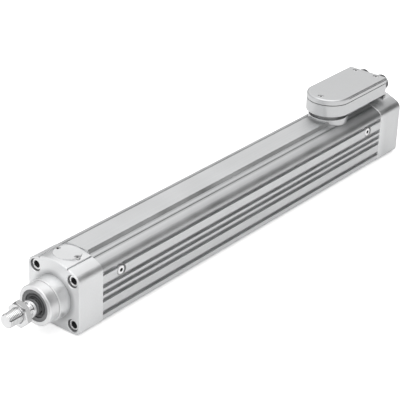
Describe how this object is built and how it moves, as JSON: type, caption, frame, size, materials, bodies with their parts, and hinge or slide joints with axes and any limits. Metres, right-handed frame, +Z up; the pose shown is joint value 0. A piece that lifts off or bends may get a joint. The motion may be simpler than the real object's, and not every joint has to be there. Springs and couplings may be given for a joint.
{
  "type": "electric cylinder",
  "caption": "Electric cylinder with a grooved aluminium barrel, a tubular linear motor inside, a threaded piston rod and a terminal box on top.",
  "frame": {"origin": "On the rod axis, in the front cap's flat front face, where the collar starts.", "axes": "X runs forward along the piston rod, the way it extends. Z points up, towards the terminal box. Y points to the housing's left flank as seen from behind."},
  "size_m": [0.4266, 0.045, 0.0685],
  "materials": {
    "barrel_anodised": "satin silver anodised, extruded",
    "cap_machined": "fine machined, clear anodised",
    "carrier_machined": "turned, clear anodised",
    "rod_polished": "ground and polished",
    "nut_polished": "bright zinc plated",
    "screw_zinc": "bright zinc plated",
    "screw_black": "black oxide",
    "wiper_rubber": "matt, dark grey",
    "seal_rubber": "matt black",
    "buffer_rubber": "matt black",
    "bush_bronze": "sintered bronze",
    "liner_fibre": "smooth wound fibre",
    "winding_copper": "varnished copper wire",
    "iron_plain": "plain soft iron",
    "ring_plastic": "moulded, glass filled",
    "board_green": "varnished glass fibre board",
    "chip_black": "moulded",
    "box_paint": "light grey satin paint on die cast metal",
    "block_grey": "moulded",
    "connector_nickel": "nickel plated",
    "insert_black": "moulded",
    "coupling_dark": "black chromed, knurled",
    "magnet_nickel": "nickel plated magnet",
    "sleeve_stainless": "stainless, drawn",
    "disc_aluminium": "turned",
    "band_plastic": "filled sliding plastic"
  },
  "bodies": {
    "housing": {"barrel_profile": "barrel_anodised", "front_cap": "cap_machined", "rear_cap": "cap_machined", "rear_centring_ring": "carrier_machined", "front_cap_screws": "screw_zinc", "rear_cap_screws": "screw_zinc", "front_cap_seal": "seal_rubber", "rear_cap_seal": "seal_rubber", "seal_carrier": "carrier_machined", "rod_wiper": "wiper_rubber", "rod_guide_bush": "bush_bronze", "cap_cover": "cap_machined", "cap_cover_screws": "screw_black", "stator_liner": "liner_fibre", "stator_coils": "winding_copper", "back_iron_tube": "iron_plain", "front_stator_ring": "ring_plastic", "rear_stator_ring": "ring_plastic", "stator_screws": "screw_zinc", "front_buffer": "buffer_rubber", "rear_buffer": "buffer_rubber", "sensor_board": "board_green", "sensor_chips": "chip_black", "terminal_box": "box_paint", "neck_screws": "screw_zinc", "box_gasket": "seal_rubber", "box_lid": "box_paint", "lid_screws": "screw_zinc", "terminal_board": "board_green", "terminal_board_screws": "screw_zinc", "terminal_blocks": "block_grey", "motor_connector": "connector_nickel", "motor_connector_insert": "insert_black", "sensor_connector": "connector_nickel", "sensor_connector_insert": "insert_black", "coupling_rings": "coupling_dark"},
    "slider": {"piston_rod": "rod_polished", "rod_nut": "nut_polished", "magnet_rings": "magnet_nickel", "pole_rings": "iron_plain", "magnet_sleeve": "sleeve_stainless", "front_guide_disc": "disc_aluminium", "rear_guide_disc": "disc_aluminium", "guide_bands": "band_plastic", "slider_nut": "screw_zinc"}
  },
  "joints": [
    {"name": "rod_extend", "type": "slide", "parent": "housing", "child": "slider", "axis": [1, 0, 0], "range_m": [0, 0.2]}
  ]
}
